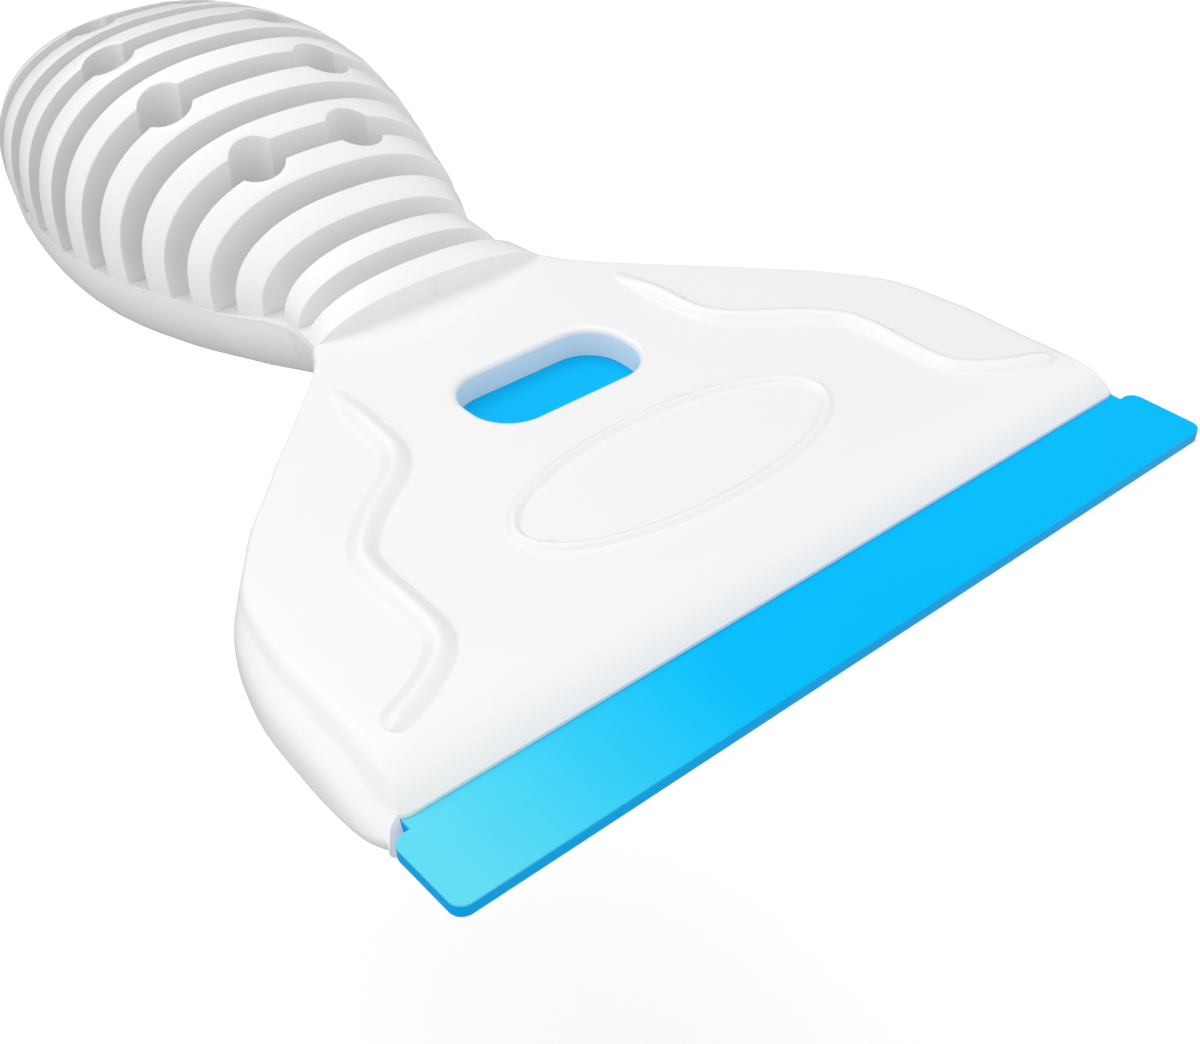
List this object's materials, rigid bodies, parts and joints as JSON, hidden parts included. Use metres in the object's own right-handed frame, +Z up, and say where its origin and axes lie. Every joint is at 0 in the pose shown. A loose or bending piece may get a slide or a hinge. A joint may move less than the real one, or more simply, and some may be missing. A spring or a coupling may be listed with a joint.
{
  "type": "aquarium algae scraper",
  "caption": "Hand-held aquarium algae scraper: a ribbed palm grip, a flat flared head with a thumb window, and an exchangeable straight plastic blade that slides out of the front.",
  "frame": {"origin": "centre of the part's box at the lowest point of the grip's belly", "axes": "+X along the blade's edge, +Y from the blade to the end of the grip, +Z up out of the ribbed side"},
  "size_m": [0.103, 0.159, 0.0412],
  "materials": {
    "white_plastic": "semi-matte white moulded plastic",
    "blue_plastic": "smooth saturated blue plastic sheet",
    "stainless_steel": "turned stainless steel"
  },
  "bodies": {
    "handle": {"handle_body": "white_plastic", "head_cover": "white_plastic", "grip_cover": "white_plastic", "head_screw_front_left": "stainless_steel", "head_screw_front_right": "stainless_steel", "head_screw_rear_left": "stainless_steel", "head_screw_rear_right": "stainless_steel", "grip_screw_front": "stainless_steel", "grip_screw_rear": "stainless_steel"},
    "blade_body": {"blade": "blue_plastic"}
  },
  "joints": [
    {"name": "blade_slide", "type": "slide", "parent": "handle", "child": "blade_body", "axis": [0, -1, 0], "range_m": [0, 0.056]}
  ]
}
